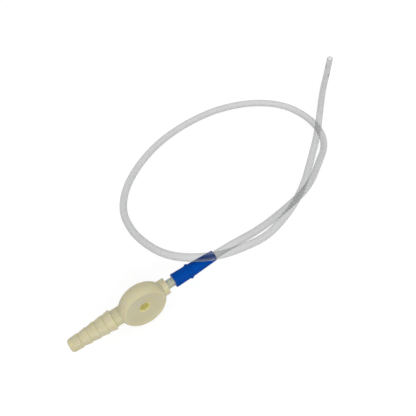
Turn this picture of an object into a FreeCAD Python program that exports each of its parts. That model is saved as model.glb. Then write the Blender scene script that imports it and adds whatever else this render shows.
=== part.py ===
"""Tracheal suction catheter, laid down as it comes to rest on a flat surface.

Three pieces: a moulded control connector, a colour sleeve and a soft catheter tube.
Millimetres. +X runs along the connector's axis from the hose cone towards the catheter,
+Z is up, and the origin lies on the surface below the middle of the connector and sleeve.
Stations are distances along the connector's axis from the open end of the hose cone.
"""
import FreeCAD, Part
import math
import os

# Hose cone: the stepped taper that suction tubing is pushed on to
CONE_END_RADIUS = 3.1
CONE_END_ROUNDING = 1.2
BARB_COUNT = 5
FIRST_BARB_LENGTH = 5.0
BARB_PITCH = 3.95
FIRST_BARB_RADIUS = 3.5
LAST_BARB_RADIUS = 4.9
BARB_STEP = 0.4
NECK_RADIUS = 4.0

# Control bulb: turned about the face normal, which leans over from the vertical.
# Its widest section is offset from the connector's axis towards the thumb face.
# A round edge joins a shallow spherical back to the rim of the thumb face.
BULB_STATION = 35.0
BULB_RADIUS = 11.5
BULB_OFFSET = 1.5
BULB_BACK_DEPTH = 7.8
BULB_EDGE_RADIUS = 4.7
FACE_ELEVATION = 17.0
RIM_RADIUS = 9.7
RIM_ROUNDING = 0.7
DISH_DEPTH = 1.5
PORT_RADIUS = 2.3

# The neck and the collar end inside the bulb at this distance from its middle, clear of the dish
ROOT_CLEARANCE = 5.5

# Collar and spigot on the catheter side of the bulb
COLLAR_RADIUS = 4.05
COLLAR_END_STATION = 48.5
COLLAR_ROUNDING = 0.25
SPIGOT_RADIUS = 2.2
SPIGOT_END_STATION = 64.5

# Lumens cored from both ends and meeting under the thumb port
HOSE_LUMEN_RADIUS = 1.6
SPIGOT_LUMEN_RADIUS = 1.4

# Colour sleeve: a soft funnel over the spigot and the start of the tube
SLEEVE_START_STATION = 52.4
SLEEVE_END_STATION = 75.3
SLEEVE_START_RADIUS = 3.45
SLEEVE_WAIST_RADIUS = 3.3
SLEEVE_END_RADIUS = 2.65
SLEEVE_MOUTH_ROUNDING = 0.3
BEAD_STATION = 60.8
BEAD_WIDTH = 1.8
BEAD_HEIGHT = 0.55

# Catheter tube: 12 French, which is 4.0 mm outside
TUBE_RADIUS = 2.0
TUBE_BORE_RADIUS = 1.4
TIP_ROUNDING = 0.4
CORNER_SHARE = 0.45
EYE_LENGTH = 3.2
EYE_WIDTH = 1.6
FIRST_EYE_FROM_TIP = 9.0
SECOND_EYE_FROM_TIP = 17.0

HALF_LENGTH = SLEEVE_END_STATION / 2
FACE_TILT = math.radians(FACE_ELEVATION)
# The bulb's round edge rests on the surface, and the bulb is the widest thing across the axis
BULB_EDGE_CENTRE = BULB_RADIUS - BULB_EDGE_RADIUS
BULB_DROP = BULB_EDGE_CENTRE * math.cos(FACE_TILT) + BULB_EDGE_RADIUS
AXIS_HEIGHT = BULB_DROP - BULB_OFFSET * math.sin(FACE_TILT)
# Sideways, the axis stands where the middle of the bulb's width is above the origin
AXIS_Y = 0.49
TUBE_START_X = SPIGOT_END_STATION - HALF_LENGTH

# The tube's route, from its seat in the sleeve to its tip. It comes down to the surface,
# runs round a loop, climbs over the sleeve, and crosses its own first run and the loop.
TUBE_ROUTE = [
    (TUBE_START_X, AXIS_Y, AXIS_HEIGHT),
    (46.8, AXIS_Y, AXIS_HEIGHT),
    (67.5, 1.5, 4.2),
    (89.5, 4.6, 2.0),
    (108.5, 8.2, 2.0),
    (124.3, 17.5, 2.0),
    (136.0, 24.6, 2.0),
    (142.5, 35.2, 2.0),
    (143.5, 50.2, 2.0),
    (137.5, 66.2, 2.0),
    (122.5, 78.7, 2.0),
    (101.5, 86.2, 2.0),
    (80.5, 87.4, 2.0),
    (58.7, 84.6, 2.0),
    (38.9, 76.7, 2.0),
    (23.4, 65.8, 2.0),
    (14.5, 53.2, 2.0),
    (12.4, 39.2, 4.5),
    (13.6, 25.6, 10.0),
    (16.9, 13.4, 15.3),
    (23.5, 3.4, 19.6),
    (36.3, -4.2, 19.6),
    (50.6, -5.2, 13.6),
    (66.8, -4.9, 7.5),
    (81.6, -1.0, 6.0),
    (92.5, 2.7, 7.5),
    (104.5, 9.2, 7.5),
    (119.5, 20.2, 6.0),
    (133.5, 30.7, 7.8),
    (149.2, 45.0, 7.8),
    (166.1, 59.5, 3.5),
    (181.5, 71.2, 2.0),
    (193.9, 81.2, 2.0),
]

ORIGIN = FreeCAD.Vector(0, 0, 0)
ALONG_X = FreeCAD.Vector(1, 0, 0)
# The bulb and the port are made about +Y, and then leaned over together
FACE_NORMAL = FreeCAD.Vector(0, 1, 0)
QUARTER_TURN = 90


def on_axis(station):
    """Point on the connector's axis at a station."""
    return FreeCAD.Vector(station - HALF_LENGTH, AXIS_Y, AXIS_HEIGHT)


def turned_on_axis(outline):
    """Solid turned about the connector's axis from closed (station, radius) points."""
    corners = [on_axis(station) + FreeCAD.Vector(0, 0, radius) for station, radius in outline]
    face = Part.Face(Part.makePolygon(corners + corners[:1]))
    return face.revolve(on_axis(0), ALONG_X, 360)


def ring_edges(shape, centre, radius):
    """The circular edges of a shape that have a given centre and radius."""
    found = []
    for edge in shape.Edges:
        if edge.Degenerated or not isinstance(edge.Curve, Part.Circle):
            continue
        if edge.Curve.Center.isEqual(centre, 0.01) and abs(edge.Curve.Radius - radius) < 0.01:
            found.append(edge)
    return found


def barb_outline():
    """Open (station, radius) outline of the barbs, each a cone that ends in a sharp step."""
    outline = [(0, CONE_END_RADIUS)]
    growth = (LAST_BARB_RADIUS - FIRST_BARB_RADIUS) / (BARB_COUNT - 1)
    for barb in range(BARB_COUNT):
        shoulder_station = FIRST_BARB_LENGTH + barb * BARB_PITCH
        shoulder_radius = FIRST_BARB_RADIUS + barb * growth
        root_radius = shoulder_radius - BARB_STEP
        outline.append((shoulder_station, shoulder_radius))
        outline.append((shoulder_station, root_radius))
    return outline[:-1]


def hose_cone():
    """Stepped hose cone with its neck, which runs into the bulb and ends inside it."""
    outline = [(0, 0)] + barb_outline()
    last_shoulder_station = outline[-1][0]
    neck_end = BULB_STATION - ROOT_CLEARANCE
    outline += [(last_shoulder_station, NECK_RADIUS), (neck_end, NECK_RADIUS), (neck_end, 0)]
    cone = turned_on_axis(outline)
    return cone.makeFillet(CONE_END_ROUNDING, ring_edges(cone, on_axis(0), CONE_END_RADIUS))


def leaned_to_face(shape):
    """Turns a shape made about +Y so that +Y becomes the thumb face's normal, and seats it."""
    shape.rotate(ORIGIN, ALONG_X, 180 - FACE_ELEVATION)
    shape.translate(on_axis(BULB_STATION))
    return shape


def sphere_height(radius, at):
    """How far a sphere's surface rises above its lowest point at a distance from its axis."""
    return radius - math.sqrt(radius ** 2 - at ** 2)


def bulb_outline():
    """Closed outline of half the bulb, in radius along X and height along +Y, and its rim point.

    The back's sphere is the one that touches the edge's circle and reaches the back depth.
    """
    edge_centre = FreeCAD.Vector(BULB_EDGE_CENTRE, BULB_OFFSET, 0)
    back_pole = FreeCAD.Vector(0, BULB_OFFSET - BULB_BACK_DEPTH, 0)
    back_sphere = (BULB_EDGE_CENTRE ** 2 + BULB_BACK_DEPTH ** 2 - BULB_EDGE_RADIUS ** 2) / (
        2 * (BULB_BACK_DEPTH - BULB_EDGE_RADIUS))
    back_centre = back_pole + FreeCAD.Vector(0, back_sphere, 0)
    touching = edge_centre + (edge_centre - back_centre).normalize() * BULB_EDGE_RADIUS
    back_middle_rise = sphere_height(back_sphere, touching.x / 2)
    back_middle = back_pole + FreeCAD.Vector(touching.x / 2, back_middle_rise, 0)
    widest = edge_centre + FreeCAD.Vector(BULB_EDGE_RADIUS, 0, 0)
    rim_height = math.sqrt(BULB_EDGE_RADIUS ** 2 - (RIM_RADIUS - BULB_EDGE_CENTRE) ** 2)
    rim = FreeCAD.Vector(RIM_RADIUS, BULB_OFFSET + rim_height, 0)
    dish_floor = FreeCAD.Vector(0, rim.y - DISH_DEPTH, 0)
    dish_sphere = (RIM_RADIUS ** 2 + DISH_DEPTH ** 2) / (2 * DISH_DEPTH)
    dish_middle_rise = sphere_height(dish_sphere, RIM_RADIUS / 2)
    dish_middle = dish_floor + FreeCAD.Vector(RIM_RADIUS / 2, dish_middle_rise, 0)
    edges = [
        Part.Arc(back_pole, back_middle, touching).toShape(),
        Part.Arc(touching, widest, rim).toShape(),
        Part.Arc(rim, dish_middle, dish_floor).toShape(),
        Part.LineSegment(dish_floor, back_pole).toShape(),
    ]
    return Part.Wire(edges), rim


def control_bulb():
    """Flattened bulb with a rounded rim round a dished thumb face.

    It is turned about its face normal, which puts its seam between the neck and the collar.
    """
    outline, rim = bulb_outline()
    bulb = Part.Face(outline).revolve(ORIGIN, FACE_NORMAL, 360)
    bulb = bulb.makeFillet(RIM_ROUNDING, ring_edges(bulb, FreeCAD.Vector(0, rim.y, 0), RIM_RADIUS))
    bulb.rotate(ORIGIN, FACE_NORMAL, QUARTER_TURN)
    return leaned_to_face(bulb)


def collar_and_spigot():
    """Short collar on the bulb and the thin spigot that the sleeve grips."""
    collar_root = BULB_STATION + ROOT_CLEARANCE
    outline = [
        (collar_root, 0),
        (collar_root, COLLAR_RADIUS),
        (COLLAR_END_STATION, COLLAR_RADIUS),
        (COLLAR_END_STATION, SPIGOT_RADIUS),
        (SPIGOT_END_STATION, SPIGOT_RADIUS),
        (SPIGOT_END_STATION, 0),
    ]
    body = turned_on_axis(outline)
    return body.makeFillet(COLLAR_ROUNDING, ring_edges(body, on_axis(COLLAR_END_STATION), COLLAR_RADIUS))


def connector_lumens():
    """The two axial lumens and the thumb port, as one tool that is cut from the moulding."""
    hose_side = Part.makeCylinder(HOSE_LUMEN_RADIUS, BULB_STATION, on_axis(0), ALONG_X)
    catheter_side = Part.makeCylinder(
        SPIGOT_LUMEN_RADIUS, SPIGOT_END_STATION - BULB_STATION, on_axis(BULB_STATION), ALONG_X)
    port = Part.makeCylinder(PORT_RADIUS, BULB_OFFSET + BULB_BACK_DEPTH, ORIGIN, FACE_NORMAL)
    return hose_side.fuse([catheter_side, leaned_to_face(port)])


def control_connector():
    """The whole connector, one moulding."""
    body = hose_cone().fuse([control_bulb(), collar_and_spigot()])
    return body.cut(connector_lumens())


def bead_ring():
    """Raised half-round ring round the sleeve."""
    start = on_axis(BEAD_STATION - BEAD_WIDTH / 2)
    end = on_axis(BEAD_STATION + BEAD_WIDTH / 2)
    base = FreeCAD.Vector(0, 0, SLEEVE_WAIST_RADIUS - BEAD_HEIGHT)
    foot = FreeCAD.Vector(0, 0, SLEEVE_WAIST_RADIUS)
    top = on_axis(BEAD_STATION) + FreeCAD.Vector(0, 0, SLEEVE_WAIST_RADIUS + BEAD_HEIGHT)
    edges = [
        Part.LineSegment(start + base, start + foot).toShape(),
        Part.Arc(start + foot, top, end + foot).toShape(),
        Part.LineSegment(end + foot, end + base).toShape(),
        Part.LineSegment(end + base, start + base).toShape(),
    ]
    return Part.Face(Part.Wire(edges)).revolve(on_axis(0), ALONG_X, 360)


def colour_sleeve():
    """Funnel sleeve: a straight mouth, a bead, and a taper down to the tube."""
    outline = [
        (SLEEVE_START_STATION, 0),
        (SLEEVE_START_STATION, SLEEVE_START_RADIUS),
        (BEAD_STATION, SLEEVE_WAIST_RADIUS),
        (SLEEVE_END_STATION, SLEEVE_END_RADIUS),
        (SLEEVE_END_STATION, 0),
    ]
    skin = turned_on_axis(outline)
    mouth = ring_edges(skin, on_axis(SLEEVE_START_STATION), SLEEVE_START_RADIUS)
    skin = skin.makeFillet(SLEEVE_MOUTH_ROUNDING, mouth)
    grip_length = SPIGOT_END_STATION - SLEEVE_START_STATION
    seat_length = SLEEVE_END_STATION - SPIGOT_END_STATION
    spigot_bore = Part.makeCylinder(SPIGOT_RADIUS, grip_length, on_axis(SLEEVE_START_STATION), ALONG_X)
    tube_bore = Part.makeCylinder(TUBE_RADIUS, seat_length, on_axis(SPIGOT_END_STATION), ALONG_X)
    return skin.fuse(bead_ring()).cut(spigot_bore.fuse(tube_bore))


def rounded_path(points):
    """Straight runs joined by the largest tangent arcs that the runs allow."""
    corners = [FreeCAD.Vector(*point) for point in points]
    edges = []
    radii = []
    start = corners[0]
    for before, corner, after in zip(corners, corners[1:], corners[2:]):
        way_in = (corner - before).normalize()
        way_out = (after - corner).normalize()
        cut_back = CORNER_SHARE * min(corner.distanceToPoint(before), corner.distanceToPoint(after))
        half_turn = way_in.getAngle(way_out) / 2
        radius = cut_back / math.tan(half_turn)
        inward = (way_out - way_in).normalize()
        arc_start = corner - way_in * cut_back
        arc_middle = corner + inward * (radius / math.cos(half_turn) - radius)
        arc_end = corner + way_out * cut_back
        edges.append(Part.LineSegment(start, arc_start).toShape())
        edges.append(Part.Arc(arc_start, arc_middle, arc_end).toShape())
        radii.append(radius)
        start = arc_end
    edges.append(Part.LineSegment(start, corners[-1]).toShape())
    return Part.Wire(edges), radii


def tip_directions():
    """Unit vectors of the tube's last run: onwards, sideways and up."""
    before, tip = [FreeCAD.Vector(*point) for point in TUBE_ROUTE[-2:]]
    onwards = (tip - before).normalize()
    sideways = FreeCAD.Vector(0, 0, 1).cross(onwards).normalize()
    return onwards, sideways, onwards.cross(sideways)


def side_eye(distance_from_tip, side):
    """Oval cutter through one wall of the tube, on the side given by the sign."""
    onwards, sideways, up = tip_directions()
    centre = FreeCAD.Vector(*TUBE_ROUTE[-1]) - onwards * distance_from_tip
    outwards = sideways * side
    oval = Part.Ellipse(ORIGIN, EYE_LENGTH / 2, EYE_WIDTH / 2).toShape()
    cutter = Part.Face(Part.Wire([oval])).extrude(FreeCAD.Vector(0, 0, 2 * TUBE_RADIUS))
    cutter.Placement = FreeCAD.Placement(centre, FreeCAD.Rotation(onwards, outwards.cross(onwards), outwards))
    return cutter


def catheter_tube():
    """Hollow tube along its route, open at a rounded tip, with two staggered side eyes."""
    path, radii = rounded_path(TUBE_ROUTE)
    seat = FreeCAD.Vector(*TUBE_ROUTE[0])
    outside = Part.Face(Part.Wire([Part.Circle(seat, ALONG_X, TUBE_RADIUS).toShape()]))
    bore = Part.Face(Part.Wire([Part.Circle(seat, ALONG_X, TUBE_BORE_RADIUS).toShape()]))
    tube = path.makePipe(outside).cut(path.makePipe(bore))
    section = math.pi * (TUBE_RADIUS ** 2 - TUBE_BORE_RADIUS ** 2)
    print("tube length %.1f, volume over section times length %.5f" % (
        path.Length, tube.Volume / (section * path.Length)))
    print("arc radii", ["%.0f" % radius for radius in radii])
    tip = FreeCAD.Vector(*TUBE_ROUTE[-1])
    tube = tube.makeFillet(TIP_ROUNDING, ring_edges(tube, tip, TUBE_RADIUS))
    return tube.cut([side_eye(FIRST_EYE_FROM_TIP, 1), side_eye(SECOND_EYE_FROM_TIP, -1)])


def export(name, shape):
    """Writes one node's solid and prints what it measures."""
    solids = shape.Solids
    box = shape.BoundBox
    print("%s: %d solid, valid %s, volume %.1f, x %.1f..%.1f y %.1f..%.1f z %.2f..%.2f" % (
        name, len(solids), shape.isValid(), shape.Volume,
        box.XMin, box.XMax, box.YMin, box.YMax, box.ZMin, box.ZMax))
    solids[0].exportStep("parts/%s.step" % name)


def main():
    """Builds and writes the three pieces."""
    os.makedirs("parts", exist_ok=True)
    export("control_connector", control_connector())
    export("colour_sleeve", colour_sleeve())
    export("catheter_tube", catheter_tube())


main()
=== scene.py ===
"""Tracheal suction catheter: its pieces dressed over the frame, and the studio for its picture.

The connector is one ivory moulding with a stepped hose cone, a bulb with a dished thumb face, and
a spigot. A blue sleeve joins it to a frosted tube, which lies in a loose loop. Lengths are in
metres, and stations run along the connector's axis from the open end of its hose cone.
"""

import logging
import math
from dataclasses import dataclass, field
from enum import Enum, IntEnum
from typing import Any, Sequence

import bmesh
import bpy
from mathutils import Euler, Matrix, Vector


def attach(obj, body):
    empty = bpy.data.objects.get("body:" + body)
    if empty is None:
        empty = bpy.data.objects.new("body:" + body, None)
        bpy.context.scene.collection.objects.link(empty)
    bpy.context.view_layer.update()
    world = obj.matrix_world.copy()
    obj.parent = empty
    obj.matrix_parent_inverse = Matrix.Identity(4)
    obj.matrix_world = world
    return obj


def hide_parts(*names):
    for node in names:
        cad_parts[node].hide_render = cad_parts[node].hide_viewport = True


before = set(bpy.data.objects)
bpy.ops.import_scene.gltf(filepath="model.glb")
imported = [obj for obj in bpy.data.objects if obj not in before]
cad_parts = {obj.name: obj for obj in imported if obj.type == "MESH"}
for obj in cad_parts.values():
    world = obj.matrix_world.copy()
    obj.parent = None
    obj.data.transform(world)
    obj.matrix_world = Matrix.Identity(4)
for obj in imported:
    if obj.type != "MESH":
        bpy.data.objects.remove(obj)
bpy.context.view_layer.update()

MM = 0.001
WHITE = (1.0, 1.0, 1.0)
BLACK = (0.0, 0.0, 0.0)
PLASTIC_IOR = 1.5
CLOUD_STOPS = (0.3, 0.7)
ROUNDING_SEGMENTS = 5
WELD_DISTANCE = 0.001 * MM
SHARP_DEG = 32.0

log = logging.getLogger("suction_catheter")
Pair = tuple[float, float]
Triple = tuple[float, float, float]
Surface = bpy.types.Material | bpy.types.World


class Node(Enum):
    """The three separate mouldings, by the names that the frame gives them."""

    CONNECTOR = "control_connector"
    SLEEVE = "colour_sleeve"
    TUBE = "catheter_tube"


class Cut(Enum):
    """How one solid is joined with another."""

    UNION = "UNION"
    DIFFERENCE = "DIFFERENCE"


class Skin(IntEnum):
    """The tube's skins, by their material slots."""

    OUTER = 0
    BORE = 1
    CUT = 2


class Strand:
    """A value socket of a shader that can be used in Python arithmetic."""

    def __init__(self, bench: "Bench", socket: bpy.types.NodeSocket) -> None:
        """Wraps a socket.

        Args:
            bench: The material's node bench.
            socket: The output socket.
        """
        self.bench = bench
        self.socket = socket

    def _math(self, operation: str, first: Any, second: Any) -> "Strand":
        """Adds a Math node.

        Args:
            operation: The Math node's operation.
            first: Its first value or strand.
            second: Its second value or strand.

        Returns:
            The node's output.
        """
        return self.bench.node("ShaderNodeMath", {"operation": operation}, {0: first, 1: second})

    def __add__(self, other: Any) -> "Strand":
        """Sum."""
        return self._math("ADD", self, other)

    def __radd__(self, other: Any) -> "Strand":
        """Sum with a number on the left."""
        return self._math("ADD", other, self)

    def __sub__(self, other: Any) -> "Strand":
        """Difference."""
        return self._math("SUBTRACT", self, other)

    def __rsub__(self, other: Any) -> "Strand":
        """Difference with a number on the left."""
        return self._math("SUBTRACT", other, self)

    def __mul__(self, other: Any) -> "Strand":
        """Product."""
        return self._math("MULTIPLY", self, other)

    def __rmul__(self, other: Any) -> "Strand":
        """Product with a number on the left."""
        return self._math("MULTIPLY", other, self)


@dataclass(frozen=True)
class Grain:
    """A noise of the surface: features per metre, octaves, and how strong the fine ones are."""

    scale: float
    detail: float
    roughness: float


class Bench:
    """The node tree of a material or a world, and the one way in which nodes are added to it."""

    def __init__(self, owner: Surface) -> None:
        """Empties the tree.

        Args:
            owner: The material or the world.
        """
        owner.use_nodes = True
        self.owner = owner
        self.tree = owner.node_tree
        self.tree.nodes.clear()

    def node(self, kind: str, settings: dict[str, Any], inputs: dict[Any, Any], output: Any = 0) -> Strand:
        """Adds a node.

        Args:
            kind: The node's type.
            settings: Its properties, set before its sockets. A ramp's stops are (place, colour).
            inputs: Values or strands by socket name or number.
            output: The name or number of the output wanted.

        Returns:
            That output.
        """
        made = self.tree.nodes.new(kind)
        for key, value in settings.items():
            if key == "stops":
                self._set_stops(made.color_ramp, value)
            else:
                setattr(made, key, value)
        for key, value in inputs.items():
            if isinstance(value, Strand):
                self.tree.links.new(value.socket, made.inputs[key])
            else:
                made.inputs[key].default_value = value
        return Strand(self, made.outputs[output])

    @staticmethod
    def _set_stops(ramp: bpy.types.ColorRamp, stops: Sequence[tuple[float, Triple]]) -> None:
        """Gives a colour ramp its stops.

        Args:
            ramp: The ramp.
            stops: Each stop's place and colour, in order.
        """
        while len(ramp.elements) < len(stops):
            ramp.elements.new(1.0)
        for element, (place, colour) in zip(ramp.elements, stops):
            element.position = place
            element.color = (*colour, 1.0)

    def place(self) -> Strand:
        """The object's own coordinates."""
        return self.node("ShaderNodeTexCoord", {}, {}, "Object")

    def along_x(self) -> Strand:
        """The object's own X coordinate."""
        return self.node("ShaderNodeSeparateXYZ", {}, {"Vector": self.place()}, "X")

    def noise(self, grain: Grain) -> Strand:
        """Noise on the object's own coordinates.

        Args:
            grain: The noise's size and detail.

        Returns:
            The noise value, about 0.5 on average.
        """
        return self.node("ShaderNodeTexNoise", {}, {
            "Vector": self.place(), "Scale": grain.scale, "Detail": grain.detail,
            "Roughness": grain.roughness})

    def clouded(self, cloud: Strand, low: Triple, high: Triple) -> Strand:
        """Blends two colours softly by a noise.

        Args:
            cloud: The noise.
            low: The colour where it is low.
            high: The colour where it is high.

        Returns:
            The blended colour.
        """
        stops = tuple(zip(CLOUD_STOPS, (low, high)))
        return self.node("ShaderNodeValToRGB", {"stops": stops}, {"Fac": cloud})

    def ramp(self, value: Strand, start: Pair, end: Pair, kind: str = "LINEAR") -> Strand:
        """Maps a value's range to another one, and holds it at both ends.

        Args:
            value: The value.
            start: Where the range starts, and the result there.
            end: Where the range ends, and the result there.
            kind: How it runs between them.

        Returns:
            The mapped value.
        """
        return self.node("ShaderNodeMapRange", {"interpolation_type": kind}, {
            "Value": value, "From Min": start[0], "To Min": start[1],
            "From Max": end[0], "To Max": end[1]})

    def mix(self, share: Strand, first: Strand | Triple, second: Triple) -> Strand:
        """Mixes a colour with a plain one.

        Args:
            share: The second colour's share.
            first: The first colour.
            second: The second colour.

        Returns:
            The mixed colour.
        """
        start = first if isinstance(first, Strand) else (*first, 1.0)
        inputs = {"Factor": share, "A": start, "B": (*second, 1.0)}
        return self.node("ShaderNodeMix", {"data_type": "RGBA"}, inputs, "Result")

    def vector(self, operation: str, first: Strand, second: Vector | None, output: str = "Vector") -> Strand:
        """Adds a Vector Math node.

        Args:
            operation: Its operation.
            first: Its first vector.
            second: Its second vector, where the operation has one.
            output: The name of the output wanted.

        Returns:
            That output.
        """
        inputs: dict[int, Any] = {0: first}
        if second is not None:
            inputs[1] = second
        return self.node("ShaderNodeVectorMath", {"operation": operation}, inputs, output)

    def bump(self, height: Strand, distance: float) -> Strand:
        """Bump from a height.

        Args:
            height: The height, 0 to 1.
            distance: The height's full size.

        Returns:
            The bumped normal.
        """
        return self.node("ShaderNodeBump", {}, {"Height": height, "Distance": distance, "Strength": 1.0})

    def slant(self) -> Strand:
        """0 where a surface is seen square on, and 1 where it is seen edge on."""
        return self.node("ShaderNodeLayerWeight", {}, {"Blend": 0.5}, "Facing")

    def plainly_seen(self) -> Strand:
        """Tells what the camera sees, directly or in and through surfaces, from other light.

        Returns:
            1 for what is seen, and otherwise 0.
        """
        seen = self.node("ShaderNodeLightPath", {}, {}, "Is Camera Ray")
        for kind in ("Is Transmission Ray", "Is Glossy Ray"):
            ray = self.node("ShaderNodeLightPath", {}, {}, kind)
            seen = self.node("ShaderNodeMath", {"operation": "MAXIMUM"}, {0: seen, 1: ray})
        return seen

    def finish(self, shader: Strand, output: str = "ShaderNodeOutputMaterial") -> Surface:
        """Links the surface to the tree's output.

        Args:
            shader: The surface's shader.
            output: The output node's type.

        Returns:
            The material or the world.
        """
        out = self.tree.nodes.new(output)
        self.tree.links.new(shader.socket, out.inputs["Surface"])
        return self.owner


@dataclass(frozen=True)
class Seating:
    """Where the connector's axis lies and which way its thumb face looks."""

    middle_station: float = 37.65 * MM
    bulb_station: float = 35.0 * MM
    side: float = 0.49 * MM
    height: float = 10.764 * MM
    face_elevation_deg: float = 17.0

    def on_axis(self, station: float) -> Vector:
        """Point on the connector's axis at a station."""
        return Vector((station - self.middle_station, self.side, self.height))

    def axial(self) -> Matrix:
        """Placement of a solid turned about the connector's axis, drawn in stations."""
        return Matrix.Translation(self.on_axis(0.0))

    def face_normal(self) -> Vector:
        """Unit normal of the thumb face."""
        tilt = math.radians(self.face_elevation_deg)
        return Vector((0.0, -math.cos(tilt), math.sin(tilt)))

    def facing(self) -> Matrix:
        """Placement of a solid turned about the thumb face's normal, through the bulb's middle."""
        turn = Vector((1, 0, 0)).rotation_difference(self.face_normal())
        return Matrix.Translation(self.on_axis(self.bulb_station)) @ turn.to_matrix().to_4x4()


@dataclass(frozen=True)
class IvoryMoulding:
    """Ivory plastic of the connector: translucent and satin, with a clearer, greyer thin spigot and a
    painted glow in its port.
    """

    pale: Triple = (0.606, 0.568, 0.392)
    deep: Triple = (0.558, 0.512, 0.332)
    spigot: Triple = (0.445, 0.463, 0.385)
    spigot_start: float = 10.9 * MM
    spigot_blend: float = 0.4 * MM
    roughness: float = 0.42
    roughness_spread: float = 0.12
    gloss: float = 0.35
    depth: float = 2.0 * MM
    reach: Triple = (1.0, 0.80, 0.30)
    cloud: Grain = Grain(90.0, 3.0, 0.55)
    grain: Grain = Grain(2600.0, 2.0, 0.5)
    grain_height: float = 0.02 * MM
    # painted glow: colour emitted by the port's wall in place of light through the moulding, dimmer deeper
    # in the port
    glow: Triple = (0.150, 0.140, 0.010)
    painted_glow_radius: float = 2.55 * MM
    painted_glow_inner: Pair = (-2.5 * MM, 0.55)
    painted_glow_outer: Pair = (3.8 * MM, 1.0)

    def material(self) -> bpy.types.Material:
        """Makes the material.

        Returns:
            The material.
        """
        bench = Bench(bpy.data.materials.new("ivory_moulding"))
        grain = bench.noise(self.grain)
        colour = bench.clouded(bench.noise(self.cloud), self.deep, self.pale)
        thin = bench.ramp(bench.along_x(), (self.spigot_start - self.spigot_blend, 0.0),
                          (self.spigot_start + self.spigot_blend, 1.0), "SMOOTHSTEP")
        shader = bench.node("ShaderNodeBsdfPrincipled", {}, {
            "Base Color": bench.mix(thin, colour, self.spigot),
            "Roughness": self.roughness + self.roughness_spread * (grain - 0.5),
            "Emission Color": self.painted_port_glow(bench),
            "Emission Strength": 1.0,
            "IOR": PLASTIC_IOR,
            "Specular IOR Level": self.gloss,
            "Subsurface Weight": 1.0,
            "Subsurface Radius": self.reach,
            "Subsurface Scale": self.depth,
            "Normal": bench.bump(grain, self.grain_height),
        })
        return bench.finish(shader)

    def painted_port_glow(self, bench: Bench) -> Strand:
        """Painted glow: emission on the port's wall that stands in for light coming through the translucent
        moulding.

        Args:
            bench: The material's node bench.

        Returns:
            The glow's colour, black away from the port.
        """
        seating = Seating()
        normal = seating.face_normal()
        middle = bench.vector("SUBTRACT", bench.place(), seating.on_axis(seating.bulb_station))
        outwards = bench.vector("DOT_PRODUCT", middle, normal, "Value")
        from_axis = bench.vector("LENGTH", bench.vector("CROSS_PRODUCT", middle, normal), None, "Value")
        # painted glow only inside the port's radius
        inside = bench.node("ShaderNodeMath", {"operation": "LESS_THAN"},
                            {0: from_axis, 1: self.painted_glow_radius})
        strength = inside * bench.ramp(outwards, self.painted_glow_inner, self.painted_glow_outer)
        return bench.mix(1.0 - strength, self.glow, BLACK)


@dataclass(frozen=True)
class BlueVinyl:
    """Blue soft vinyl of the sleeve."""

    light: Triple = (0.000, 0.066, 0.350)
    dark: Triple = (0.000, 0.049, 0.300)
    roughness: float = 0.36
    roughness_spread: float = 0.15
    gloss: float = 0.03
    cloud: Grain = Grain(160.0, 3.0, 0.5)
    grain: Grain = Grain(2200.0, 3.0, 0.6)
    grain_height: float = 0.03 * MM

    def material(self) -> bpy.types.Material:
        """Makes the material.

        Returns:
            The material.
        """
        bench = Bench(bpy.data.materials.new("blue_vinyl"))
        grain = bench.noise(self.grain)
        shader = bench.node("ShaderNodeBsdfPrincipled", {}, {
            "Base Color": bench.clouded(bench.noise(self.cloud), self.dark, self.light),
            "Roughness": self.roughness + self.roughness_spread * (grain - 0.5),
            "Specular IOR Level": self.gloss,
            "Normal": bench.bump(grain, self.grain_height),
        })
        return bench.finish(shader)


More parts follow.
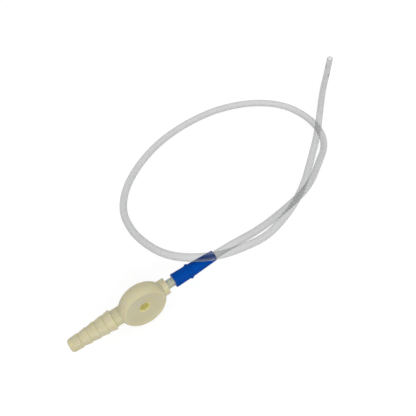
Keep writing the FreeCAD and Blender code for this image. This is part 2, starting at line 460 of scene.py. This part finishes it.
@dataclass(frozen=True)
class FrostedVinyl:
    """Colourless frosted vinyl of the tube, greyer where its wall is seen edge on, with painted shade on the
    cut wall at the tip and in the eyes.

    The bore fills the tube for the eye, as in any thick clear wall, so the bore's own skin is
    nearly invisible.
    """

    through: Triple = (0.850, 0.852, 0.852)
    bore_through: Triple = (0.97, 0.97, 0.97)
    body: Triple = (0.500, 0.503, 0.503)
    # painted shade: darker grey of the cut wall at the tip and in the eyes
    cut_painted_shade: Triple = (0.360, 0.362, 0.362)
    roughness: float = 0.22
    roughness_spread: float = 0.10
    haze: float = 0.015
    edge: float = 0.50
    spread: float = 0.02
    bore_haze: float = 0.006
    bore_edge: float = 0.035
    cut_share: float = 0.60
    frost: Grain = Grain(420.0, 3.0, 0.55)

    def material(self) -> bpy.types.Material:
        """Makes the outer skin's material.

        Returns:
            The material.
        """
        bench = Bench(bpy.data.materials.new("frosted_vinyl"))
        frost = bench.noise(self.frost)
        share = self.haze + self.edge * bench.slant() + self.spread * (frost - 0.5)
        return bench.finish(self.skin(bench, share, self.through, self.body, frost))

    def bore_material(self) -> bpy.types.Material:
        """Makes the bore's material.

        Returns:
            The material.
        """
        bench = Bench(bpy.data.materials.new("frosted_vinyl_bore"))
        slant = bench.slant()
        share = self.bore_haze + self.bore_edge * slant * slant * slant
        return bench.finish(self.skin(bench, share, self.bore_through, self.body, bench.noise(self.frost)))

    def cut_material(self) -> bpy.types.Material:
        """Makes the material of the cut wall, at the tip and in the eyes, which is seen edge on: a darker
        grey skin that paints in the shade and dark refraction of these cut edges.

        Returns:
            The material.
        """
        bench = Bench(bpy.data.materials.new("frosted_vinyl_cut"))
        frost = bench.noise(self.frost)
        return bench.finish(self.skin(bench, self.cut_share, self.through, self.cut_painted_shade, frost))

    def skin(self, bench: Bench, share: Strand | float, through: Triple, body: Triple,
             frost: Strand) -> Strand:
        """Mixes what is seen straight through with the frosted skin.

        Args:
            bench: The material's node bench.
            share: The skin's share.
            through: The tint of what is seen through it.
            body: The skin's own colour.
            frost: The frost's noise.

        Returns:
            The mixed shader.
        """
        clear = bench.node("ShaderNodeBsdfTransparent", {}, {"Color": (*through, 1.0)})
        skin = bench.node("ShaderNodeBsdfPrincipled", {}, {
            "Base Color": (*body, 1.0),
            "Roughness": self.roughness + self.roughness_spread * (frost - 0.5),
            "IOR": PLASTIC_IOR,
        })
        return bench.node("ShaderNodeMixShader", {}, {0: share, 1: clear, 2: skin})


class Section:
    """Half a section, drawn with a pen and then turned about its own X axis.

    A place on it is a pair: how far along the axis, and how far out from it.
    """

    def __init__(self, along: float, out: float) -> None:
        """Sets the pen down.

        Args:
            along: Place along the axis.
            out: Distance from the axis.
        """
        self.bm = bmesh.new()
        self.first = self.pen = self.bm.verts.new((along, 0.0, out))
        self.corners: list[tuple[bmesh.types.BMVert, float]] = []

    def line(self, along: float, out: float, rounding: float = 0.0) -> "Section":
        """Draws a straight line.

        Args:
            along: Its end along the axis.
            out: Its end's distance from the axis.
            rounding: How much of the corner at its end is rounded off.

        Returns:
            The section.
        """
        there = self.bm.verts.new((along, 0.0, out))
        self.bm.edges.new((self.pen, there))
        self.pen = there
        if rounding:
            self.corners.append((there, rounding))
        return self

    def arc(self, centre: Pair, degrees: float, steps: int) -> "Section":
        """Draws an arc from the pen.

        Args:
            centre: The arc's centre.
            degrees: Its turn, positive from the axis's direction towards the outside.
            steps: Its number of straight pieces.

        Returns:
            The section.
        """
        swept = bmesh.ops.spin(self.bm, geom=[self.pen], cent=(centre[0], 0.0, centre[1]), axis=(0, -1, 0),
                               angle=math.radians(degrees), steps=steps, use_duplicate=False)
        self.pen = next(item for item in swept["geom_last"] if isinstance(item, bmesh.types.BMVert))
        return self

    def close(self) -> "Section":
        """Joins the pen with the first point, for a hollow piece."""
        self.bm.edges.new((self.pen, self.first))
        return self

    def turned(self, steps: int, place: Matrix) -> bmesh.types.BMesh:
        """Rounds the corners and turns the section into a closed solid.

        Args:
            steps: Facets round the axis.
            place: Where the solid goes.

        Returns:
            The solid.
        """
        bm = self.bm
        for corner, rounding in self.corners:
            bmesh.ops.bevel(bm, geom=[corner], offset=rounding, offset_type="OFFSET",
                            segments=ROUNDING_SEGMENTS, profile=0.5, affect="VERTICES", material=-1,
                            clamp_overlap=True)
        bmesh.ops.spin(bm, geom=bm.verts[:] + bm.edges[:], cent=(0, 0, 0), axis=(1, 0, 0),
                       angle=math.tau, steps=steps, use_merge=True, use_duplicate=False)
        bmesh.ops.remove_doubles(bm, verts=bm.verts, dist=WELD_DISTANCE)
        bmesh.ops.recalc_face_normals(bm, faces=bm.faces)
        bmesh.ops.transform(bm, matrix=place, verts=bm.verts)
        return bm


def piece_from(bm: bmesh.types.BMesh, name: str) -> bpy.types.Object:
    """Turns a bmesh into an object at the origin.

    Args:
        bm: The mesh, which is freed.
        name: The object's name.

    Returns:
        The object.
    """
    mesh = bpy.data.meshes.new(name)
    bm.to_mesh(mesh)
    bm.free()
    made = bpy.data.objects.new(name, mesh)
    bpy.context.collection.objects.link(made)
    return made


def combine(base: bpy.types.Object, tool: bpy.types.Object, cut: Cut) -> None:
    """Joins a tool with a piece, or cuts it away, and removes the tool.

    Args:
        base: The piece.
        tool: The other solid.
        cut: How they are joined.
    """
    modifier = base.modifiers.new("combine", "BOOLEAN")
    modifier.operation = cut.value
    modifier.solver = "EXACT"
    modifier.object = tool
    graph = bpy.context.evaluated_depsgraph_get()
    mesh = bpy.data.meshes.new_from_object(base.evaluated_get(graph))
    base.modifiers.clear()
    base.data = mesh
    bpy.data.objects.remove(tool)


def soften(made: bpy.types.Object, degrees: float) -> None:
    """Shades a piece smooth, apart from the edges that turn by more than an angle.

    Args:
        made: The piece.
        degrees: The angle.
    """
    bm = bmesh.new()
    bm.from_mesh(made.data)
    for face in bm.faces:
        face.smooth = True
    for edge in bm.edges:
        edge.smooth = not edge.is_manifold or edge.calc_face_angle(0.0) < math.radians(degrees)
    bm.to_mesh(made.data)
    bm.free()


def settle(made: bpy.types.Object, node: Node) -> None:
    """Gives a finished piece its place in the frame.

    Args:
        made: The piece.
        node: The CAD node that it stands for.
    """
    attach(made, "root")
    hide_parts(node.value)


def dress(made: bpy.types.Object, material: bpy.types.Material, node: Node) -> None:
    """Gives a piece its one material and its place in the frame.

    Args:
        made: The piece.
        material: Its material.
        node: The CAD node that it stands for.
    """
    made.data.materials.clear()
    made.data.materials.append(material)
    settle(made, node)


@dataclass
class ControlConnector:
    """The ivory moulding: hose cone, neck, bulb with its thumb face and port, collar and spigot."""

    seating: Seating = field(default_factory=Seating)
    cone_end: float = 3.1 * MM
    cone_rounding: float = 1.2 * MM
    barbs: int = 5
    first_barb: Pair = (5.0 * MM, 3.5 * MM)
    barb_pitch: float = 3.95 * MM
    barb_growth: float = 0.35 * MM
    barb_step: float = 0.4 * MM
    barb_crest_rounding: float = 0.18 * MM
    barb_root_rounding: float = 0.22 * MM
    neck: float = 4.0 * MM
    core: float = 2.5 * MM
    root_clearance: float = 5.5 * MM
    bulb_radius: float = 11.5 * MM
    bulb_offset: float = 1.5 * MM
    back_depth: float = 7.8 * MM
    edge_radius: float = 4.7 * MM
    rim_radius: float = 9.7 * MM
    rim_rounding: float = 0.45 * MM
    dish_depth: float = 1.5 * MM
    port: float = 2.3 * MM
    port_lip: float = 0.12 * MM
    port_foot: float = 0.23 * MM
    collar: Pair = (48.5 * MM, 4.05 * MM)
    collar_rounding: float = 0.25 * MM
    spigot: Pair = (64.5 * MM, 2.2 * MM)
    spigot_root_rounding: float = 0.15 * MM
    spigot_end_rounding: float = 0.2 * MM
    lumens: Pair = (1.6 * MM, 1.4 * MM)
    lumen_overshoot: float = 2.0 * MM
    facets: int = 128
    lumen_facets: int = 48
    port_facets: int = 64
    back_steps: int = 24
    edge_steps: int = 36
    rim_steps: int = 10
    dish_steps: int = 24

    def axial_body(self) -> bpy.types.Object:
        """Turns the barbed cone, the neck, the collar and the spigot as one solid.

        Returns:
            The solid.
        """
        section = Section(0.0, 0.0).line(0.0, self.cone_end, self.cone_rounding)
        station, radius = self.first_barb
        for barb in range(self.barbs):
            root = self.neck if barb == self.barbs - 1 else radius - self.barb_step
            section.line(station, radius, self.barb_crest_rounding)
            section.line(station, root, self.barb_root_rounding)
            station += self.barb_pitch
            radius += self.barb_growth
        neck_end = self.seating.bulb_station - self.root_clearance
        collar_root = self.seating.bulb_station + self.root_clearance
        section.line(neck_end, self.neck).line(neck_end, self.core)
        section.line(collar_root, self.core).line(collar_root, self.collar[1])
        section.line(*self.collar, self.collar_rounding)
        section.line(self.collar[0], self.spigot[1], self.spigot_root_rounding)
        section.line(*self.spigot, self.spigot_end_rounding).line(self.spigot[0], 0.0)
        return piece_from(section.turned(self.facets, self.seating.axial()), "ivory_connector")

    def bulb(self) -> bpy.types.Object:
        """Turns the bulb: a shallow round back, a round edge, a rounded rim and the dish.

        Returns:
            The bulb.
        """
        edge = Vector((self.bulb_offset, self.bulb_radius - self.edge_radius))
        pole = self.bulb_offset - self.back_depth
        back = (edge.y ** 2 + self.back_depth ** 2 - self.edge_radius ** 2) / (
            2 * (self.back_depth - self.edge_radius))
        back_turn = math.degrees(math.asin(edge.y / (back - self.edge_radius)))
        dish = (self.rim_radius ** 2 + self.dish_depth ** 2) / (2 * self.dish_depth)
        dish_centre = Vector((self.dish_floor() + dish, 0.0))
        corner = self.corner_centre(edge, self.edge_radius - self.rim_rounding,
                                    dish_centre, dish + self.rim_rounding)
        towards_edge = math.degrees(math.atan2(corner.y - edge.y, corner.x - edge.x))
        towards_dish = math.degrees(math.atan2(dish_centre.y - corner.y, dish_centre.x - corner.x))
        section = Section(pole, 0.0)
        section.arc((pole + back, 0.0), -back_turn, self.back_steps)
        section.arc(tuple(edge), -(180.0 - back_turn - towards_edge), self.edge_steps)
        section.arc(tuple(corner), -(towards_edge - towards_dish), self.rim_steps)
        section.arc(tuple(dish_centre), -towards_dish, self.dish_steps)
        return piece_from(section.turned(self.facets, self.seating.facing()), "bulb")

    def dish_floor(self) -> float:
        """How far the dish's deepest point lies from the connector's axis, along the face's normal."""
        out = self.rim_radius - (self.bulb_radius - self.edge_radius)
        return self.bulb_offset + math.sqrt(self.edge_radius ** 2 - out ** 2) - self.dish_depth

    @staticmethod
    def corner_centre(first: Vector, first_reach: float, second: Vector, second_reach: float) -> Vector:
        """Finds the point at given distances from two centres, on the outer side.

        Args:
            first: One centre.
            first_reach: The distance from it.
            second: The other centre.
            second_reach: The distance from it.

        Returns:
            The point.
        """
        between = second - first
        gap = between.length
        along = (first_reach ** 2 - second_reach ** 2 + gap ** 2) / (2 * gap)
        aside = math.sqrt(first_reach ** 2 - along ** 2)
        way = between / gap
        points = [first + way * along + Vector((-way.y, way.x)) * aside * sign for sign in (1, -1)]
        return max(points, key=lambda point: point.y)

    def lumen_tool(self) -> bpy.types.Object:
        """Turns the two axial lumens, which meet in the middle of the bulb.

        Returns:
            The lumens as a solid.
        """
        first, last = -self.lumen_overshoot, self.spigot[0] + self.lumen_overshoot
        middle = self.seating.bulb_station
        section = Section(first, 0.0).line(first, self.lumens[0]).line(middle, self.lumens[0])
        section.line(middle, self.lumens[1]).line(last, self.lumens[1]).line(last, 0.0)
        return piece_from(section.turned(self.lumen_facets, self.seating.axial()), "lumens")

    def port_tool(self) -> bpy.types.Object:
        """Turns the thumb port, with a slight lead-in at its mouth.

        Returns:
            The port as a solid.
        """
        floor = self.dish_floor()
        mouth = self.port + 2 * self.port_lip
        section = Section(self.port_foot, 0.0).line(self.port_foot, self.port)
        section.line(floor - self.port_lip, self.port).line(floor + self.port_lip, mouth)
        section.line(self.bulb_radius, mouth).line(self.bulb_radius, 0.0)
        return piece_from(section.turned(self.port_facets, self.seating.facing()), "port")

    def build(self) -> bpy.types.Object:
        """Joins the bodies, opens the lumens and the port, and dresses the moulding.

        Returns:
            The connector.
        """
        body = self.axial_body()
        combine(body, self.bulb(), Cut.UNION)
        hollows = self.lumen_tool()
        combine(hollows, self.port_tool(), Cut.UNION)
        combine(body, hollows, Cut.DIFFERENCE)
        soften(body, SHARP_DEG)
        dress(body, IvoryMoulding().material(), Node.CONNECTOR)
        log.info("connector: %d faces", len(body.data.polygons))
        return body


@dataclass
class ColourSleeve:
    """The blue sleeve: a straight mouth, a bead, and a taper down to the tube."""

    seating: Seating = field(default_factory=Seating)
    mouth: Pair = (52.4 * MM, 3.45 * MM)
    waist: Pair = (60.8 * MM, 3.3 * MM)
    end: Pair = (75.3 * MM, 2.65 * MM)
    seat_station: float = 64.5 * MM
    bores: Pair = (2.2 * MM, 2.0 * MM)
    bead_width: float = 1.8 * MM
    bead_height: float = 0.55 * MM
    bead_steps: int = 12
    mouth_rounding: float = 0.3 * MM
    end_rounding: float = 0.25 * MM
    bore_rounding: float = 0.1 * MM
    facets: int = 96

    def build(self) -> bpy.types.Object:
        """Turns the sleeve as one hollow piece and dresses it.

        Returns:
            The sleeve.
        """
        half = self.bead_width / 2
        swell = (half ** 2 + self.bead_height ** 2) / (2 * self.bead_height)
        bead_centre = (self.waist[0], self.waist[1] + self.bead_height - swell)
        bead_turn = 2 * math.degrees(math.asin(half / swell))
        section = Section(self.mouth[0], self.bores[0]).line(*self.mouth, self.mouth_rounding)
        section.line(self.waist[0] - half, self.waist[1]).arc(bead_centre, -bead_turn, self.bead_steps)
        section.line(*self.end, self.end_rounding).line(self.end[0], self.bores[1], self.bore_rounding)
        section.line(self.seat_station, self.bores[1]).line(self.seat_station, self.bores[0]).close()
        sleeve = piece_from(section.turned(self.facets, self.seating.axial()), "blue_sleeve")
        soften(sleeve, SHARP_DEG)
        dress(sleeve, BlueVinyl().material(), Node.SLEEVE)
        log.info("sleeve: %d faces", len(sleeve.data.polygons))
        return sleeve


@dataclass
class CatheterTube:
    """Soft tube with a bore, an open rounded tip and two side eyes, lying in a loose loop."""

    radius: float = 2.0 * MM
    bore_radius: float = 1.4 * MM
    tip_rounding: float = 0.4 * MM
    tip_segments: int = 4
    length: float = 0.552
    sides: int = 32
    rings_per_point: int = 14
    sharp_deg: float = 40.0
    eye_size: Pair = (3.2 * MM, 1.6 * MM)
    eye_sides: int = 24
    eyes_from_tip: Pair = (9.0 * MM, 17.0 * MM)
    route_mm: tuple[Triple, ...] = (
        (26.85, 0.49, 10.764), (46.8, 0.49, 10.764), (67.5, 1.5, 4.2), (89.5, 4.6, 2.0),
        (108.5, 8.2, 2.0), (124.3, 17.5, 2.0), (136.0, 24.6, 2.0), (142.5, 35.2, 2.0),
        (143.5, 50.2, 2.0), (137.5, 66.2, 2.0), (122.5, 78.7, 2.0), (101.5, 86.2, 2.0),
        (80.5, 87.4, 2.0), (58.7, 84.6, 2.0), (38.9, 76.7, 2.0), (23.4, 65.8, 2.0),
        (14.5, 53.2, 2.0), (12.6, 39.8, 3.4), (14.0, 26.9, 7.4), (17.5, 15.0, 11.8),
        (24.3, 5.0, 15.8), (37.4, -2.8, 15.8), (51.3, -4.5, 11.6), (66.9, -4.8, 7.2),
        (81.8, -0.9, 5.6), (93.3, 3.2, 6.2), (105.3, 9.7, 6.2), (119.8, 20.4, 5.6),
        (134.7, 31.5, 6.3), (150.5, 45.9, 6.3), (166.4, 59.7, 3.2), (181.5, 71.2, 2.0),
        (193.9, 81.2, 2.0),
    )

    def line_mesh(self, thickness: float) -> bpy.types.Mesh:
        """Meshes the smooth line that the tube follows.

        Args:
            thickness: The radius of the skin round the line, or 0 for the line alone.

        Returns:
            The skin, open at both ends, or the line's points in order.
        """
        curve = bpy.data.curves.new("tube_line", "CURVE")
        curve.dimensions = "3D"
        curve.resolution_u = self.rings_per_point
        curve.bevel_depth = thickness
        curve.bevel_resolution = self.sides // 2 - 2
        spline = curve.splines.new("NURBS")
        spline.points.add(len(self.route_mm) - 1)
        for point, place in zip(spline.points, self.route_mm):
            point.co = (*(MM * value for value in place), 1.0)
        spline.order_u = 3
        spline.use_endpoint_u = True
        holder = bpy.data.objects.new("tube_line", curve)
        bpy.context.collection.objects.link(holder)
        mesh = bpy.data.meshes.new_from_object(holder)
        bpy.data.objects.remove(holder)
        return mesh

    def wall(self, seat: Vector) -> bmesh.types.BMesh:
        """Joins the outer skin and the bore's skin at both ends, and rounds the tip.

        Args:
            seat: The line's first point.

        Returns:
            The closed wall of the tube.
        """
        bm = bmesh.new()
        bm.from_mesh(self.line_mesh(self.bore_radius))
        bmesh.ops.recalc_face_normals(bm, faces=bm.faces)
        bmesh.ops.reverse_faces(bm, faces=bm.faces)
        inner = set(bm.edges)
        for face in bm.faces:
            face.material_index = Skin.BORE
        outer = bmesh.new()
        outer.from_mesh(self.line_mesh(self.radius))
        bmesh.ops.recalc_face_normals(outer, faces=outer.faces)
        skin = bpy.data.meshes.new("outer_skin")
        outer.to_mesh(skin)
        outer.free()
        bm.from_mesh(skin)
        rims = [edge for edge in bm.edges if edge.is_boundary]
        seat_rims = [edge for edge in rims if (edge.verts[0].co - seat).length < 2 * self.radius]
        tip_rims = [edge for edge in rims if edge not in seat_rims]
        tip_edge = [edge for edge in tip_rims if edge not in inner]
        bmesh.ops.bridge_loops(bm, edges=seat_rims)
        for face in bmesh.ops.bridge_loops(bm, edges=tip_rims)["faces"]:
            face.material_index = Skin.CUT
        bmesh.ops.bevel(bm, geom=tip_edge, offset=self.tip_rounding, offset_type="OFFSET",
                        segments=self.tip_segments, profile=0.5, affect="EDGES", material=-1,
                        clamp_overlap=True)
        return bm

    def eye_cutter(self, tip: Vector, onwards: Vector, from_tip: float, side: int) -> bpy.types.Object:
        """Makes the oval prism that opens one side eye.

        Args:
            tip: The end of the tube.
            onwards: The tube's direction there.
            from_tip: The eye's middle, back from the tip.
            side: 1 or -1, for the side of the tube.

        Returns:
            The cutter.
        """
        outwards = Vector((0, 0, 1)).cross(onwards).normalized() * side
        across = outwards.cross(onwards)
        turn = Matrix((onwards, across, outwards)).transposed().to_4x4()
        place = Matrix.Translation(tip - onwards * from_tip) @ turn
        bm = bmesh.new()
        bmesh.ops.create_circle(bm, cap_ends=True, segments=self.eye_sides, radius=0.5)
        bmesh.ops.scale(bm, vec=(*self.eye_size, 1.0), verts=bm.verts)
        grown = bmesh.ops.extrude_face_region(bm, geom=bm.faces[:])["geom"]
        top = [item for item in grown if isinstance(item, bmesh.types.BMVert)]
        bmesh.ops.translate(bm, vec=(0, 0, 2 * self.radius), verts=top)
        bmesh.ops.recalc_face_normals(bm, faces=bm.faces)
        bmesh.ops.transform(bm, matrix=place, verts=bm.verts)
        for face in bm.faces:
            face.material_index = Skin.CUT
        return piece_from(bm, "eye_cutter")

    def build(self) -> bpy.types.Object:
        """Returns:
            The tube.
        """
        points = [vertex.co.copy() for vertex in self.line_mesh(0.0).vertices]
        onwards = (points[-1] - points[-2]).normalized()
        tube = piece_from(self.wall(points[0]), "soft_tube")
        finish = FrostedVinyl()
        skins = {Skin.OUTER: finish.material(), Skin.BORE: finish.bore_material(),
                 Skin.CUT: finish.cut_material()}
        for skin in Skin:
            tube.data.materials.append(skins[skin])
        for from_tip, side in zip(self.eyes_from_tip, (1, -1)):
            combine(tube, self.eye_cutter(points[-1], onwards, from_tip, side), Cut.DIFFERENCE)
        soften(tube, self.sharp_deg)
        settle(tube, Node.TUBE)
        log.info("tube: %d rings, %d faces", len(points), len(tube.data.polygons))
        return tube


@dataclass(frozen=True)
class Lamp:
    """A soft square lamp: where it hangs, its side in metres and its power in watts."""

    place: Triple
    size: float
    power: float


@dataclass
class Studio:
    """Camera at the photograph's angle, white floor, and soft plain light."""

    camera_place: Triple = (-0.01395, -0.06881, 0.192)
    camera_turn_deg: Triple = (32.0, 0.0, -34.774)
    lens: float = 35.83
    sensor: float = 36.0
    nearest_seen: float = 0.01
    floor_size: float = 3.0
    floor_tone: Triple = (0.25, 0.25, 0.25)
    floor_glow: float = 0.80
    aim: Triple = (0.06, 0.03, 0.0)
    lamps: tuple[Lamp, ...] = (
        Lamp((-0.30, 0.60, 0.80), 0.60, 1.5),
        Lamp((0.75, -0.10, 0.80), 0.70, 0.8),
        Lamp((-0.10, -0.80, 0.50), 0.70, 4.6),
    )
    world_strength: float = 0.66
    world_seen: float = 1.0

    def camera(self) -> None:
        """Places the camera."""
        data = bpy.data.cameras.new("camera")
        data.lens = self.lens
        data.sensor_width = self.sensor
        data.clip_start = self.nearest_seen
        made = bpy.data.objects.new("camera", data)
        made.location = self.camera_place
        made.rotation_euler = Euler([math.radians(angle) for angle in self.camera_turn_deg])
        bpy.context.collection.objects.link(made)
        bpy.context.scene.camera = made

    def light(self) -> None:
        """Hangs the soft lamps, each aimed at the middle of the part."""
        for number, lamp in enumerate(self.lamps):
            data = bpy.data.lights.new("soft_lamp_%d" % number, "AREA")
            data.size = lamp.size
            data.energy = lamp.power
            made = bpy.data.objects.new(data.name, data)
            made.location = lamp.place
            towards = Vector(self.aim) - Vector(lamp.place)
            made.rotation_euler = towards.to_track_quat("-Z", "Y").to_euler()
            bpy.context.collection.objects.link(made)

    def world(self) -> None:
        """Sets a plain world that is white to the camera and in glossy and clear surfaces."""
        bench = Bench(bpy.data.worlds.new("studio"))
        strength = self.world_strength + (self.world_seen - self.world_strength) * bench.plainly_seen()
        background = bench.node("ShaderNodeBackground", {}, {"Color": (*WHITE, 1.0), "Strength": strength})
        bpy.context.scene.world = bench.finish(background, "ShaderNodeOutputWorld")

    def floor(self) -> None:
        """Lays the floor, white to the camera apart from the part's faint shadow."""
        bm = bmesh.new()
        bmesh.ops.create_grid(bm, x_segments=1, y_segments=1, size=self.floor_size / 2)
        made = piece_from(bm, "floor")
        bench = Bench(bpy.data.materials.new("white_floor"))
        matt = bench.node("ShaderNodeBsdfDiffuse", {}, {"Color": (*self.floor_tone, 1.0)})
        glow = bench.node("ShaderNodeEmission", {}, {"Strength": bench.plainly_seen() * self.floor_glow})
        both = bench.node("ShaderNodeAddShader", {}, {0: matt, 1: glow})
        made.data.materials.append(bench.finish(both))

    def build(self) -> None:
        """Sets up the whole studio."""
        bpy.context.scene.view_settings.view_transform = "Standard"
        self.camera()
        self.world()
        self.light()
        self.floor()
        log.info("studio: camera, world, %d lamps and floor", len(self.lamps))


def main() -> None:
    """Builds the studio and the pieces in order."""
    logging.basicConfig(level=logging.INFO, format="%(message)s")
    Studio().build()
    CatheterTube().build()
    ControlConnector().build()
    ColourSleeve().build()


if __name__ == "__main__":
    main()
